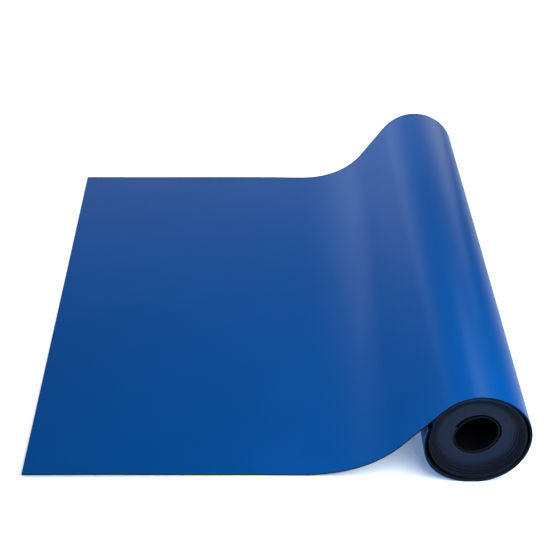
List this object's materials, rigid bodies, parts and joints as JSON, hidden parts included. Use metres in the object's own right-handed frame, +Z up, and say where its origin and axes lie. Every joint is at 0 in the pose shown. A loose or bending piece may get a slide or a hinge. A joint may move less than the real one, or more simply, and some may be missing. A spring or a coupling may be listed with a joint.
{
  "type": "roll of sign vinyl",
  "caption": "Partly unrolled roll of blue sign vinyl with a black backing, laid flat at its free end and wound on a core tube, with a roll that turns to pay the sheet out.",
  "frame": {"origin": "bottom centre of the whole part, on the surface that the sheet and the roll lie on", "axes": "+X from the sheet's free end towards the roll, +Y along the roll's axis away from the near end, +Z up"},
  "size_m": [0.475, 0.6188, 0.0976],
  "materials": {
    "blue_film": "satin",
    "black_backing": "matte",
    "dark_core": "matte"
  },
  "bodies": {
    "laid_sheet": {"vinyl_laid": "blue_film", "backing_laid": "black_backing"},
    "roll_wrap": {"vinyl_lead": "blue_film", "backing_lead": "black_backing"},
    "wound_roll": {"vinyl_wound": "blue_film", "backing_wound": "black_backing", "core_tube": "dark_core"}
  },
  "joints": [
    {"name": "sheet_feed", "type": "slide", "parent": "laid_sheet", "child": "roll_wrap", "axis": [1, 0, 0], "range_m": [0, 0.126]},
    {"name": "roll_turn", "type": "hinge", "parent": "roll_wrap", "child": "wound_roll", "pos_m": [0.1887, 0, 0.0488], "axis": [0, -1, 0], "range_deg": [0, 150]}
  ],
  "couplings": [
    {"joint": "sheet_feed", "follows": "roll_turn", "m_per_rad": 0.048}
  ]
}
